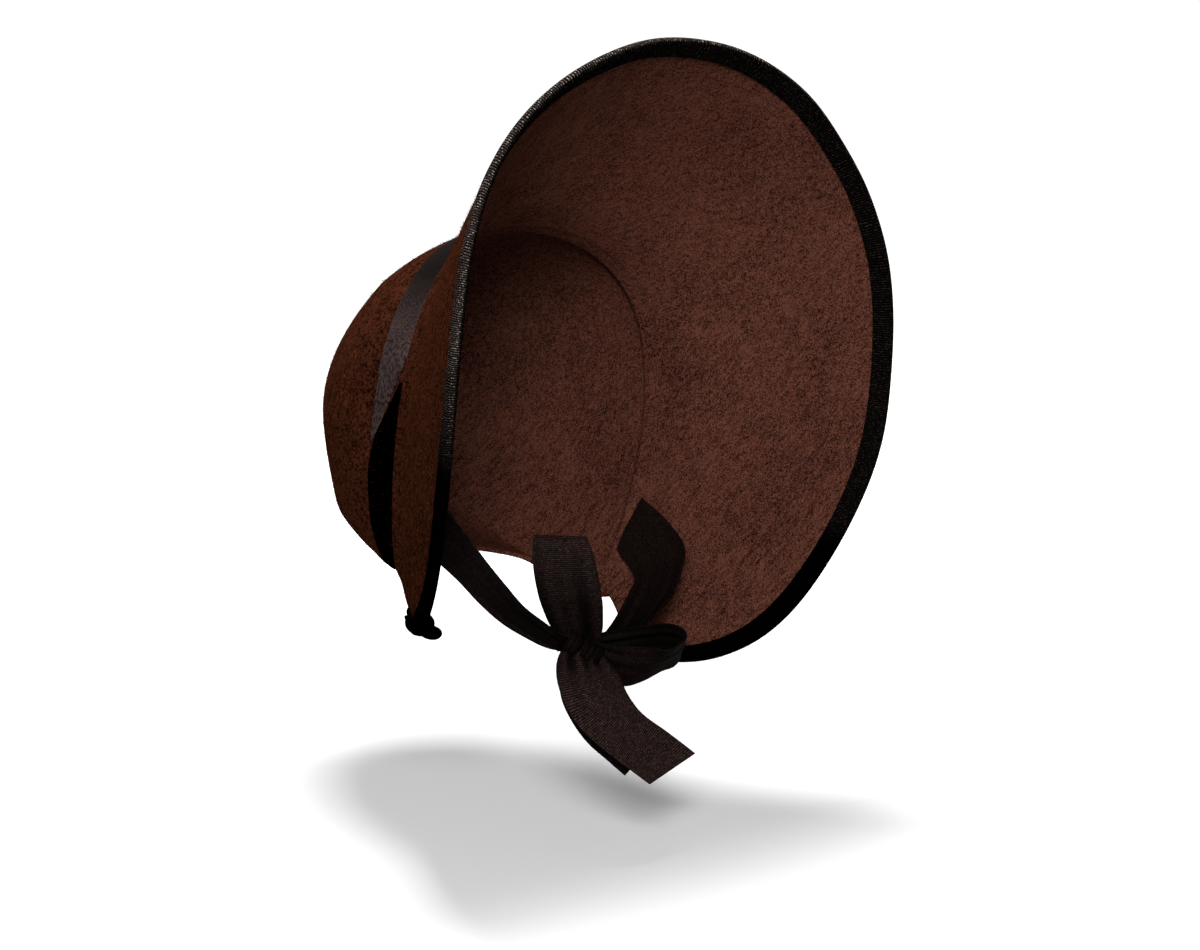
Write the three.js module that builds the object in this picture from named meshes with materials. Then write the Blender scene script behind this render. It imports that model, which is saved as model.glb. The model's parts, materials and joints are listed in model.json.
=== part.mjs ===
// A felt poke bonnet with a bound brim, a satin hatband and a ribbon bow under the chin.
// Millimetres, +Z up, the wearer faces -Y. The origin is the inside top of the crown, where it is worn.
import * as THREE from 'three';
import { mergeVertices } from 'three/addons/utils/BufferGeometryUtils.js';

// Felt and fit
const felt = 2.4;
const clearance = 0.3;

// Crown
const crownWidth = 186;
const mouthHeight = 200;
const seatBehindSeam = 15;
const crownDepth = 150;
const poleDrop = 110;
const ovalFoot = 98;
const ovalShare = 0.8;
const domeTaper = 1.4;
const sideTaper = 0.75;

// Brim
const brimWidth = 302;
const brimHeight = 331;
const brimRise = 103;
const brimReach = 114;
const brimBelly = 1.5;
const collarLength = 12;
const collarNose = 2.5;

// Binding over the brim's front edge
const bindingLip = 9.5;
const bindingCloth = 1;
const bindingEndFold = 3.2;
const bindingEndLength = 14;
const bindingOverhang = 2;

// Hatband and side tabs
const hatbandWidth = 28;
const hatbandSetback = 2.5;
const trimCloth = 1;
const tabWidth = 30;

// Chin ribbon and bow
const ribbonWidth = 38;
const ribbonCloth = 1;
const chinDrop = 221.5;
const chinReach = 81;
const knotWidth = 24;
const knotHeight = 22;
const knotDepth = 17;
const upperLoopLength = 53;
const sideLoopLength = 44;
const loopOpening = 9;
const sideLoopStandoff = 2.6;
const backTailStandoff = 1.4;
const frontTailLength = 72;
const backTailLength = 70;

const seatMargin = 0.3;
const collarSlack = 0.1;
const seatToSeamTop = felt + clearance + seatMargin;
const archColumns = 44;
const napeColumns = 14;
const domeRows = 8;
const flareRows = 9;

// Seam between crown and brim, from its top down one side.
// out: share of half the crown's width. drop: of mouthHeight. fore: of brimReach.
const seamRows = [
  { out: 0, drop: 0, fore: 0 },
  { out: 0.3, drop: 0.015, fore: 0 },
  { out: 0.56, drop: 0.06, fore: 0.005 },
  { out: 0.775, drop: 0.145, fore: 0.015 },
  { out: 0.925, drop: 0.285, fore: 0.035 },
  { out: 0.995, drop: 0.455, fore: 0.058 },
  { out: 0.995, drop: 0.625, fore: 0.073 },
  { out: 0.968, drop: 0.755, fore: 0.077 },
  { out: 0.914, drop: 0.88, fore: 0.08 },
  { out: 0.86, drop: 0.955, fore: 0.077 },
  { out: 0.817, drop: 1, fore: 0.072 },
];

// Free front edge of the brim, row by row opposite the seam's rows.
// out: share of half the brim's width. drop: of brimHeight. fore: of brimReach.
const edgeRows = [
  { out: 0, drop: 0, fore: 1 },
  { out: 0.318, drop: 0.024, fore: 0.99 },
  { out: 0.57, drop: 0.082, fore: 0.98 },
  { out: 0.775, drop: 0.163, fore: 0.99 },
  { out: 0.927, drop: 0.275, fore: 1.02 },
  { out: 0.993, drop: 0.417, fore: 1.06 },
  { out: 0.987, drop: 0.586, fore: 1.11 },
  { out: 0.914, drop: 0.749, fore: 1.06 },
  { out: 0.795, drop: 0.903, fore: 0.9 },
  { out: 0.656, drop: 0.985, fore: 0.62 },
  { out: 0.503, drop: 1, fore: 0.325 },
];

// Lower edge of the crown under the nape, from the seam's lower end to the middle of the back.
// out: share of half the crown's width. drop: of mouthHeight. back: of crownDepth.
const napeRows = [
  { out: 0.753, drop: 1.005, back: 0 },
  { out: 0.613, drop: 0.97, back: 0.08 },
  { out: 0.366, drop: 0.935, back: 0.15 },
  { out: 0, drop: 0.93, back: 0.18 },
];

function seamPoint(row) {
  return new THREE.Vector3(
    -row.out * crownWidth / 2,
    -seatBehindSeam - row.fore * brimReach,
    seatToSeamTop - row.drop * mouthHeight,
  );
}

function edgePoint(row) {
  return new THREE.Vector3(
    -row.out * brimWidth / 2,
    -seatBehindSeam - row.fore * brimReach,
    seatToSeamTop + brimRise - row.drop * brimHeight,
  );
}

function napePoint(row) {
  return new THREE.Vector3(
    -row.out * crownWidth / 2,
    -seatBehindSeam + row.back * crownDepth,
    seatToSeamTop - row.drop * mouthHeight,
  );
}

function mirrored(point) {
  return new THREE.Vector3(-point.x, point.y, point.z);
}

// A curve from the right side's last row over the first row to the left side's last row.
function archCurve(rows, place) {
  const right = rows.map(place).reverse();
  const left = rows.slice(1).map(place).map(mirrored);
  return new THREE.CatmullRomCurve3([...right, ...left], false, 'catmullrom', 0.5);
}

const seam = archCurve(seamRows, seamPoint);
const edge = archCurve(edgeRows, edgePoint);
const cornerRow = seamRows[seamRows.length - 1];
const nape = new THREE.CatmullRomCurve3([
  mirrored(seamPoint(cornerRow)),
  ...napeRows.map(napePoint).map(mirrored),
  ...napeRows.slice(0, -1).map(napePoint).reverse(),
  seamPoint(cornerRow),
], false, 'catmullrom', 0.5);

// Place on the crown's rim: 0 to 1 runs over the seam from right to left,
// and past either end it turns along the nape edge.
const napeShare = nape.getLength() / seam.getLength();
function rimPoint(t) {
  if (t < 0) {
    return nape.getPoint(1 + t / napeShare);
  }
  if (t > 1) {
    return nape.getPoint((t - 1) / napeShare);
  }
  return seam.getPoint(t);
}

// The crown's outline, seen from behind and measured from the pole: the rim's cornered
// outline turns into an oval on the way to the pole. share is 0 at the rim and 1 at the pole.
function crownOutline(rim, share) {
  const rise = rim.z + poleDrop;
  const halfHeight = rise > 0 ? seatToSeamTop + poleDrop : ovalFoot;
  const angle = Math.atan2(rise / halfHeight, 2 * rim.x / crownWidth);
  const blend = THREE.MathUtils.smoothstep(share, 0, ovalShare);
  return {
    out: THREE.MathUtils.lerp(rim.x, Math.cos(angle) * crownWidth / 2, blend),
    up: THREE.MathUtils.lerp(rise, Math.sin(angle) * halfHeight, blend),
  };
}

// Middle of the crown's wall: distance is how far behind the rim, straight back.
function crownPoint(t, distance) {
  const rim = rimPoint(t);
  const depth = crownDepth - seatBehindSeam - rim.y;
  const reach = Math.min(distance / depth, 1);
  const turn = Math.asin(reach ** (1 / domeTaper));
  const { out, up } = crownOutline(rim, turn / (Math.PI / 2));
  const narrowing = Math.cos(turn);
  return new THREE.Vector3(out * narrowing ** sideTaper, rim.y + depth * reach, up * narrowing - poleDrop);
}

// Outward normal of a surface given by a function of two values.
function surfaceNormal(surface, t, distance, stepT, stepDistance) {
  const along = surface(t + stepT, distance).sub(surface(t - stepT, distance));
  const across = surface(t, distance + stepDistance).sub(surface(t, distance));
  return along.cross(across).normalize();
}

function crownNormal(t, distance) {
  return surfaceNormal(crownPoint, t, Math.max(distance, 0.5), 0.004, 1);
}

// A point held a fixed height above the middle of the crown's wall.
function aboveCrown(t, distance, height) {
  return crownPoint(t, distance).addScaledVector(crownNormal(t, distance), height);
}

const collarDepth = felt + clearance + collarSlack;

function brimRoot(t) {
  const root = aboveCrown(t, 0, -collarDepth);
  root.y -= collarNose;
  return root;
}

// Middle of the brim's wall: 0 at the bend before the crown's mouth, 1 at the free edge.
function brimPoint(t, share) {
  const inside = Math.min(Math.max(t, 0), 1);
  const root = brimRoot(inside);
  const free = edge.getPoint(inside);
  const point = root.clone().lerp(free, share);
  const ruling = free.clone().sub(root).normalize();
  const ahead = edge.getPoint(Math.min(inside + 0.01, 1));
  const behind = edge.getPoint(Math.max(inside - 0.01, 0));
  const along = ahead.clone().sub(behind).normalize();
  const outward = ruling.clone().cross(along).normalize();
  point.addScaledVector(outward, brimBelly * Math.sin(Math.PI * share));
  if (t !== inside) {
    const step = brimPoint(inside, share).sub(brimPoint(inside + Math.sign(inside - t) * 0.005, share));
    point.addScaledVector(step, Math.abs(t - inside) / 0.005);
  }
  return point;
}

// One closed body from rows of points: the sheet is thickened to both sides along its normals.
// halves gives half the thickness of each row, closed joins the last column to the first,
// pole gathers the last row in one point.
function sheetBody(rows, halfAt, { closed = false, pole = false } = {}) {
  const rowCount = rows.length;
  const columnCount = rows[0].length;
  const clamped = (i, count) => Math.min(Math.max(i, 0), count - 1);
  const columnAt = (c) => (closed ? (c + columnCount) % columnCount : clamped(c, columnCount));
  const rowAt = (r) => clamped(r, rowCount);
  const normalAt = (r, c) => {
    const along = rows[r][columnAt(c + 1)].clone().sub(rows[r][columnAt(c - 1)]);
    const across = rows[rowAt(r + 1)][c].clone().sub(rows[rowAt(r - 1)][c]);
    return along.cross(across).normalize();
  };
  const positions = [];
  const corner = [[], []];
  for (const [layer, side] of [1, -1].entries()) {
    for (let r = 0; r < rowCount; r += 1) {
      const gathered = pole && r === rowCount - 1;
      const ring = [];
      for (let c = 0; c < columnCount; c += 1) {
        if (gathered && c > 0) {
          ring.push(ring[0]);
          continue;
        }
        const normal = gathered ? poleNormal(rows) : normalAt(r, c);
        const point = rows[r][c].clone().addScaledVector(normal, side * halfAt(r));
        ring.push(positions.length / 3);
        positions.push(point.x, point.y, point.z);
      }
      corner[layer].push(ring);
    }
  }
  const triangles = [];
  const addQuad = (a, b, c, d) => {
    for (const triangle of [[a, b, c], [a, c, d]]) {
      if (new Set(triangle).size === 3) {
        triangles.push(...triangle);
      }
    }
  };
  const [front, back] = corner;
  const lastColumn = closed ? columnCount : columnCount - 1;
  for (let r = 0; r < rowCount - 1; r += 1) {
    for (let c = 0; c < lastColumn; c += 1) {
      const next = (c + 1) % columnCount;
      addQuad(front[r][c], front[r][next], front[r + 1][next], front[r + 1][c]);
      addQuad(back[r][c], back[r + 1][c], back[r + 1][next], back[r][next]);
    }
    if (!closed) {
      const end = columnCount - 1;
      addQuad(front[r][0], front[r + 1][0], back[r + 1][0], back[r][0]);
      addQuad(front[r][end], back[r][end], back[r + 1][end], front[r + 1][end]);
    }
  }
  for (let c = 0; c < lastColumn; c += 1) {
    const next = (c + 1) % columnCount;
    addQuad(front[0][c], back[0][c], back[0][next], front[0][next]);
    if (!pole) {
      const end = rowCount - 1;
      addQuad(front[end][c], front[end][next], back[end][next], back[end][c]);
    }
  }
  return closedGeometry(positions, triangles);
}

// The pole's normal points away from the middle of the ring before it.
function poleNormal(rows) {
  const ring = rows[rows.length - 2];
  const middle = ring.reduce((sum, point) => sum.add(point), new THREE.Vector3()).divideScalar(ring.length);
  const normal = rows[rows.length - 1][0].clone().sub(middle).normalize();
  const along = ring[1].clone().sub(ring[0]);
  const across = rows[rows.length - 1][0].clone().sub(ring[0]);
  return along.cross(across).dot(normal) < 0 ? normal.negate() : normal;
}

function signedVolume(positions, triangles) {
  const at = (i) => new THREE.Vector3(...positions.slice(3 * i, 3 * i + 3));
  let volume = 0;
  for (let i = 0; i < triangles.length; i += 3) {
    volume += at(triangles[i]).dot(at(triangles[i + 1]).cross(at(triangles[i + 2]))) / 6;
  }
  return volume;
}

function closedGeometry(positions, triangles) {
  const facing = signedVolume(positions, triangles) < 0 ? [...triangles].reverse() : triangles;
  const geometry = new THREE.BufferGeometry();
  geometry.setAttribute('position', new THREE.Float32BufferAttribute(positions, 3));
  geometry.setIndex(facing);
  geometry.computeVertexNormals();
  return geometry;
}

// The other side's copy of a body, with its faces still pointing out.
function mirroredGeometry(geometry) {
  const copy = geometry.clone();
  copy.scale(-1, 1, 1);
  copy.setIndex([...copy.index.array].reverse());
  copy.computeVertexNormals();
  return copy;
}

function range(count) {
  return Array.from({ length: count + 1 }, (_, i) => i / count);
}

// Value of one column of a table at a place between its rows, which are in order of place.
function tableValue(rows, place, column) {
  const next = rows.findIndex((row, i) => i > 0 && (row.place >= place || i === rows.length - 1));
  const low = rows[next - 1];
  const high = rows[next];
  const share = (place - low.place) / (high.place - low.place);
  return THREE.MathUtils.lerp(low[column], high[column], share);
}

const archStations = range(archColumns);

// Distances behind the seam of the hatband's sides and of the lines between them.
const hatbandLines = range(3).map((share) => hatbandSetback + share * hatbandWidth);

function makeCrown() {
  const napeStations = range(napeColumns).slice(1, -1).map((share) => 1 + share * napeShare);
  const loop = [...archStations, ...napeStations];
  const front = [0, ...hatbandLines].map((distance) => loop.map((t) => crownPoint(t, distance)));
  const dome = range(domeRows).slice(1).map((share) => loop.map((t) => {
    const depth = crownDepth - rimPoint(t).y - seatBehindSeam;
    const first = Math.asin((hatbandLines[hatbandLines.length - 1] / depth) ** (1 / domeTaper));
    const angle = THREE.MathUtils.lerp(first, Math.PI / 2, share);
    return crownPoint(t, depth * Math.sin(angle) ** domeTaper);
  }));
  return sheetBody([...front, ...dome], () => felt / 2, { closed: true, pole: true });
}

function makeBrim() {
  const collarRows = [collarLength, hatbandSetback, 0].map((distance) => archStations.map(
    (t) => aboveCrown(t, distance, -collarDepth),
  ));
  const flare = range(flareRows).map((share) => archStations.map((t) => brimPoint(t, share)));
  return sheetBody([...collarRows, ...flare], () => felt / 2);
}

// The strip's cloth is thickest at the folded ends, at the brim's two lower corners.
function bindingClothAt(t) {
  const fromCorner = Math.min(t, 1 - t) * edge.getLength();
  const fold = THREE.MathUtils.smoothstep(bindingEndLength - fromCorner, 0, bindingEndLength / 2);
  return THREE.MathUtils.lerp(bindingCloth, bindingEndFold, fold);
}

function makeBinding() {
  const overhang = bindingOverhang / edge.getLength();
  const folds = [0.3, 0.6].map((share) => share * bindingEndLength / edge.getLength());
  const stations = [-overhang, ...archStations, 1 + overhang];
  stations.push(...folds, ...folds.map((share) => 1 - share));
  stations.sort((a, b) => a - b);
  const rows = stations.map((t) => {
    const away = felt / 2 + clearance + bindingClothAt(t) / 2;
    const length = brimPoint(t, 1).distanceTo(brimPoint(t, 0));
    const normal = surfaceNormal(brimPoint, t, 1 - 1 / length, 0.002, 1 / length);
    const tip = brimPoint(t, 1);
    const along = brimPoint(t + 0.002, 1).sub(brimPoint(t - 0.002, 1)).normalize();
    const outward = along.clone().cross(normal).normalize();
    if (outward.dot(tip.clone().sub(brimPoint(t, 0.8))) < 0) {
      outward.negate();
    }
    const lip = [bindingLip, bindingLip / 2, 0].map((distance) => brimPoint(t, 1 - distance / length));
    const turn = [60, 20, -20, -60].map((degrees) => {
      const angle = THREE.MathUtils.degToRad(degrees);
      return tip.clone()
        .addScaledVector(normal, away * Math.sin(angle))
        .addScaledVector(outward, away * Math.cos(angle));
    });
    return [
      ...lip.map((point) => point.clone().addScaledVector(normal, away)),
      ...turn,
      ...lip.map((point) => point.clone().addScaledVector(normal, -away)).reverse(),
    ];
  });
  return sheetBody(rows, (r) => bindingClothAt(stations[r]) / 2);
}

const trimHeight = felt / 2 + clearance + trimCloth / 2;

// A strip lying on the crown. Each row gives its place on the rim and how far behind the rim
// its two sides run. Its stations are the rows' own places and the seam's stations between them.
function crownStrip(rows, across) {
  const places = rows.map((row) => row.place);
  const apart = 0.2 / archColumns;
  const last = places[places.length - 1];
  const free = (t) => places.every((place) => Math.abs(place - t) > apart);
  const between = archStations.filter((t) => t > places[0] && t < last && free(t));
  const stations = [...places, ...between].sort((a, b) => a - b);
  const grid = stations.map((t) => {
    const front = tableValue(rows, t, 'front');
    const back = tableValue(rows, t, 'back');
    return range(across).map((k) => aboveCrown(t, THREE.MathUtils.lerp(front, back, k), trimHeight));
  });
  return sheetBody(grid, () => trimCloth / 2);
}

// The hatband's lower ends are cut on a slant, and a side tab carries on from each.
const slantTop = 0.255;
const slantFoot = 0.195;
const slantTip = 2;

function makeHatband() {
  const back = hatbandSetback + hatbandWidth;
  const rows = [
    { place: slantFoot, front: back - slantTip, back },
    { place: slantTop, front: hatbandSetback, back },
    { place: 0.5, front: hatbandSetback, back },
    { place: 1 - slantTop, front: hatbandSetback, back },
    { place: 1 - slantFoot, front: back - slantTip, back },
  ];
  return crownStrip(rows, 3);
}

// A tab's outline, from its foot at the crown's corner to its point under the hatband's slant.
// place: on the rim. reach: how far it runs behind the seam, as a share of tabWidth.
const tabRows = [
  { place: 0, reach: 0.5 },
  { place: 0.03, reach: 0.75 },
  { place: 0.08, reach: 0.95 },
  { place: 0.14, reach: 1 },
  { place: 0.185, reach: 0.8 },
  { place: 0.235, reach: 0.1 },
];

function makeSideTab() {
  const front = hatbandSetback / 2;
  const rows = tabRows.map(({ place, reach }) => ({ place, front, back: front + reach * tabWidth }));
  return crownStrip(rows, 4);
}

// A flat ribbon along a smooth path. Each row has its place, the direction of its width,
// and its width as a share of the whole ribbon.
function ribbonBody(rows, steps, across) {
  const path = new THREE.CatmullRomCurve3(rows.map((row) => row.at), false, 'centripetal');
  const grid = range(steps).map((share) => {
    const place = share * (rows.length - 1);
    const low = Math.min(Math.floor(place), rows.length - 2);
    const blend = place - low;
    const side = rows[low].side.clone().lerp(rows[low + 1].side, blend).normalize();
    const width = ribbonWidth * THREE.MathUtils.lerp(rows[low].width, rows[low + 1].width, blend);
    const middle = path.getPoint(share);
    const ahead = path.getTangent(share);
    const normal = ahead.clone().cross(side).normalize();
    const dish = (rows[low].dish ?? 0) * (1 - blend) + (rows[low + 1].dish ?? 0) * blend;
    return range(across).map((k) => {
      const offset = k - 0.5;
      return middle.clone()
        .addScaledVector(side, offset * width)
        .addScaledVector(normal, dish * (1 - 4 * offset * offset));
    });
  });
  return sheetBody(grid, () => ribbonCloth / 2);
}

const knotCentre = new THREE.Vector3(0, -seatBehindSeam - chinReach, -chinDrop);

function vector(x, y, z) {
  return new THREE.Vector3(x, y, z);
}

// The direction of the ribbon's width in the upper loop and at both tails' roots.
const bowAcross = vector(0.87, -0.46, 0.18);

// A point on the knot's surface in a direction, or a little beyond it.
function knotSurface(direction, beyond) {
  const unit = direction.clone().normalize();
  const scaled = vector(2 * unit.x / knotWidth, 2 * unit.y / knotDepth, 2 * unit.z / knotHeight);
  return knotCentre.clone().addScaledVector(unit, 1 / scaled.length() + beyond);
}

function makeKnot() {
  const ball = new THREE.SphereGeometry(0.5, 16, 10);
  ball.deleteAttribute('normal');
  ball.deleteAttribute('uv');
  const merged = mergeVertices(ball, 1e-4);
  const place = merged.attributes.position;
  for (let i = 0; i < place.count; i += 1) {
    const point = new THREE.Vector3().fromBufferAttribute(place, i);
    const crease = 1 + 0.07 * Math.cos(5 * Math.atan2(point.z, point.x)) * Math.hypot(point.x, point.z) * 2;
    place.setXYZ(i, point.x * knotWidth * crease, point.y * knotDepth, point.z * knotHeight * crease);
  }
  merged.translate(knotCentre.x, knotCentre.y, knotCentre.z);
  merged.computeVertexNormals();
  return merged;
}

// The right tie: sewn inside the seam, down under the jaw to the knot.
const tieStartHigh = 0.165;
const tieStartLow = 0.1;

// The tie's path below its start, bellied out round the cheek.
// along: share of the straight line to the knot. out, fore, down: shares of that line's length.
// back, low: how far the ribbon's width turns back under the jaw and down.
const tieRows = [
  { along: 0.22, out: 0.13, fore: 0.16, down: 0.005, back: 0.7, low: 0.7, width: 0.97, dish: 0.5 },
  { along: 0.42, out: 0.13, fore: 0.17, down: 0.035, back: 0.87, low: 0.42, width: 0.95, dish: 1 },
  { along: 0.63, out: 0.1, fore: 0.14, down: 0.07, back: 0.87, low: 0.42, width: 0.85, dish: 2 },
  { along: 0.85, out: 0.03, fore: 0.07, down: 0.055, back: 0.9, low: 0.4, width: 0.6, dish: 2 },
];

function makeTie() {
  const inward = -(collarDepth + felt / 2 + 2 * clearance + ribbonCloth);
  const high = aboveCrown(tieStartHigh, 0, inward);
  const low = aboveCrown(tieStartLow, collarLength * 0.7, inward);
  const start = high.clone().lerp(low, 0.5);
  const end = knotSurface(vector(-1, 0.75, 0.3), clearance);
  const span = end.clone().sub(start);
  const reach = span.length();
  const middle = tieRows.map(({ along, out, fore, down, back, low: lower, width, dish }) => ({
    at: start.clone().addScaledVector(span, along).add(vector(-out * reach, -fore * reach, -down * reach)),
    side: vector(0.25, back, -lower),
    width,
    dish,
  }));
  const rows = [
    { at: start, side: low.clone().sub(high).normalize(), width: high.distanceTo(low) / ribbonWidth },
    ...middle,
    { at: end, side: vector(0.2, 0.6, -0.8), width: 0.36, dish: 1 },
  ];
  return ribbonBody(rows, 18, 4);
}

// A loop of ribbon: out along one face, round the fold and back along the other.
function loopBody({ root, beyond, direction, side, face, length, fold }) {
  const start = knotSurface(root, beyond);
  const out = direction.clone().normalize();
  const away = face.clone().normalize();
  const place = ({ along, open, width, dish }, sign) => ({
    at: start.clone().addScaledVector(out, along * length).addScaledVector(away, sign * open * loopOpening),
    side,
    width: width * (width < 0.9 ? 1 : fold),
    dish: sign * -dish,
  });
  const there = loopRows.map((row) => place(row, 1));
  const back = loopRows.slice(0, -1).reverse().map((row) => place(row, -1));
  return ribbonBody([...there, ...back], 20, 4);
}

// Half of a bow loop, from the knot to its fold.
// along: share of the loop's length. open: share of loopOpening. width: share of the ribbon.
const loopRows = [
  { along: 0, open: 0.12, width: 0.46, dish: 1 },
  { along: 0.3, open: 0.6, width: 0.84, dish: 1 },
  { along: 0.65, open: 0.75, width: 0.97, dish: 0 },
  { along: 0.95, open: 0.4, width: 1, dish: 0 },
  { along: 1, open: 0, width: 1, dish: 0 },
];

function makeUpperLoop() {
  return loopBody({
    root: vector(-0.25, 0, 1),
    beyond: clearance,
    direction: vector(-0.42, 0.05, 0.91),
    side: bowAcross,
    face: vector(-0.43, -0.86, -0.14),
    length: upperLoopLength,
    fold: 0.95,
  });
}

function makeSideLoop() {
  return loopBody({
    root: vector(1, -0.45, -0.1),
    beyond: clearance + sideLoopStandoff,
    direction: vector(0.9, -0.4, 0.2),
    side: vector(-0.45, -0.8, 0.4),
    face: vector(-0.1, 0.4, 0.9),
    length: sideLoopLength,
    fold: 0.8,
  });
}

function makeFrontTail() {
  const at = (out, fore, drop) => knotCentre.clone().add(
    vector(out * frontTailLength, -fore * frontTailLength, -drop * frontTailLength),
  );
  const rows = [
    { at: knotSurface(vector(-0.05, -0.6, -1), clearance), side: bowAcross, width: 0.5, dish: 1 },
    { at: at(0, 0.19, 0.22), side: vector(0.9, -0.35, 0.25), width: 0.88, dish: 1 },
    { at: at(0.075, 0.275, 0.37), side: vector(0.85, 0.09, 0.53), width: 1 },
    { at: at(0.255, 0.45, 0.55), side: vector(0.72, 0.38, 0.58), width: 1 },
    { at: at(0.555, 0.64, 0.73), side: vector(0.88, 0.15, 0.46), width: 1 },
  ];
  return ribbonBody(rows, 16, 4);
}

function makeBackTail() {
  const start = knotSurface(vector(0.2, 0.6, -1), clearance + backTailStandoff);
  const at = (out, fore, drop) => knotCentre.clone().add(
    vector(out * backTailLength, -fore * backTailLength, -drop * backTailLength),
  );
  const rows = [
    { at: start, side: bowAcross, width: 0.45 },
    { at: at(0.2, -0.07, 0.3), side: vector(0.91, -0.2, 0.33), width: 0.85 },
    { at: at(0.28, 0, 0.43), side: vector(0.85, 0.09, 0.53), width: 1 },
    { at: at(0.47, 0.14, 0.62), side: vector(0.72, 0.38, 0.58), width: 1 },
    { at: at(0.61, 0.25, 0.74), side: vector(0.8, 0.31, 0.52), width: 1 },
  ];
  return ribbonBody(rows, 16, 4);
}

const brownFelt = new THREE.MeshStandardMaterial({ color: 0x4a2415, roughness: 0.95, metalness: 0 });
const darkFelt = new THREE.MeshStandardMaterial({ color: 0x3c1d14, roughness: 0.95, metalness: 0 });
const blackBinding = new THREE.MeshStandardMaterial({ color: 0x0b0909, roughness: 0.75, metalness: 0 });
const greySatin = new THREE.MeshStandardMaterial({ color: 0x2b2726, roughness: 0.4, metalness: 0 });
const blackRibbon = new THREE.MeshStandardMaterial({ color: 0x0a0808, roughness: 0.7, metalness: 0 });
const tieRibbon = new THREE.MeshStandardMaterial({ color: 0x1a1211, roughness: 0.6, metalness: 0 });

const bonnet = new THREE.Group();

function addPiece(name, geometry, material) {
  const mesh = new THREE.Mesh(geometry, material);
  mesh.name = name;
  bonnet.add(mesh);
}

addPiece('crown', makeCrown(), brownFelt);
addPiece('brim', makeBrim(), darkFelt);
addPiece('brim_binding', makeBinding(), blackBinding);
addPiece('hatband', makeHatband(), greySatin);
const sideTab = makeSideTab();
addPiece('side_tab_right', sideTab, blackRibbon);
addPiece('side_tab_left', mirroredGeometry(sideTab), blackRibbon);
const tie = makeTie();
addPiece('tie_right', tie, tieRibbon);
addPiece('tie_left', mirroredGeometry(tie), tieRibbon);
addPiece('bow_knot', makeKnot(), tieRibbon);
addPiece('bow_loop_upper', makeUpperLoop(), tieRibbon);
addPiece('bow_loop_side', makeSideLoop(), tieRibbon);
addPiece('bow_tail_front', makeFrontTail(), tieRibbon);
addPiece('bow_tail_back', makeBackTail(), tieRibbon);

export default bonnet;
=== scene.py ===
# %% [markdown]
# # A felt poke bonnet with a tied ribbon
# The bonnet has four kinds of cloth. Crown and brim are thick brown felt, the brim's edge is
# bound with a black ribbed strip, a satin band covers the seam, and a ribbed ribbon ties
# into a bow. Each of them is one section below, and each section starts from the bodies
# that the frame brings in, so that everything lands at its real size and place.

# %% Load the frame
import json
import math

import bpy
import numpy as np
from mathutils import Matrix, Vector

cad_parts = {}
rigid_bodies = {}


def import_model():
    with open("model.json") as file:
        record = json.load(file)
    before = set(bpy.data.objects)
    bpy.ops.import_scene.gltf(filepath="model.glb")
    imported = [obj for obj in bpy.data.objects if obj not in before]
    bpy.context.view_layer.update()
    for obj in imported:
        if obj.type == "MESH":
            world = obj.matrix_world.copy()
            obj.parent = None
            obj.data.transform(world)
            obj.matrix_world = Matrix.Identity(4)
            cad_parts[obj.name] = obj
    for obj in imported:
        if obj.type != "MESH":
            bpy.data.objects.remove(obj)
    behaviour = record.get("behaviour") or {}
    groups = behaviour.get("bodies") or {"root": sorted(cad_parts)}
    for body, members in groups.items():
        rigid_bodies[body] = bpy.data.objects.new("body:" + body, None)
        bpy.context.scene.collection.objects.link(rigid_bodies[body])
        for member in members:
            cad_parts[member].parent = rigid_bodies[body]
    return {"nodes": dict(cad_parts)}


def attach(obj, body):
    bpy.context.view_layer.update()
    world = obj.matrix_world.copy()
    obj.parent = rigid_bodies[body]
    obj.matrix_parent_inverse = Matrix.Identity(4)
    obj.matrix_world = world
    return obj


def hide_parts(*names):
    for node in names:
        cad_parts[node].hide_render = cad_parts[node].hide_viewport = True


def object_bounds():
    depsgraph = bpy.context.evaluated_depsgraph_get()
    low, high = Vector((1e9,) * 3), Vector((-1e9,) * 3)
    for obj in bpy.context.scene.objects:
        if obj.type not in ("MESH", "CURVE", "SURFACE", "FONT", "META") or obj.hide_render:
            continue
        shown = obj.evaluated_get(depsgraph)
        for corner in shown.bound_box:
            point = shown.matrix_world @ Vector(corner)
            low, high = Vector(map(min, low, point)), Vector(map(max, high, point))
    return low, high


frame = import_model()
nodes = frame["nodes"]
cad_box = [list(corner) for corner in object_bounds()]
scene = bpy.context.scene
scene.view_settings.view_transform = "Standard"
MM = 0.001
print("frame", [round((high - low) / MM) for low, high in zip(*cad_box)], "mm")

# %% [markdown]
# ## The camera
# The picture was taken from the bonnet's right, almost level, with a longish lens. The
# bonnet sits tilted back in it, and here the bonnet stays upright, so the camera is rolled
# by that angle instead. Three unit vectors, towards the picture's right, its top and the
# lens, make the camera's matrix.

# %% Camera
AZIMUTH = math.radians(-40)
ELEVATION = math.radians(1)
ROLL = math.radians(10.5)
CAMERA_DISTANCE = 1.5
CAMERA_AIM = Vector((35, -45, -129)) * MM
LENS_MM = 80.36
SENSOR_MM = 36


def side_at(azimuth, rise):
    """The unit vector towards a place round the bonnet: azimuth 0 is its front, 90 degrees its left."""
    return Vector((
        math.sin(azimuth) * math.cos(rise),
        -math.cos(azimuth) * math.cos(rise),
        math.sin(rise),
    ))


lens_side = side_at(AZIMUTH, ELEVATION)
level_right = Vector((math.cos(AZIMUTH), math.sin(AZIMUTH), 0))
level_up = lens_side.cross(level_right)
picture_right = level_right * math.cos(ROLL) + level_up * math.sin(ROLL)
picture_up = level_up * math.cos(ROLL) - level_right * math.sin(ROLL)

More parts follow.
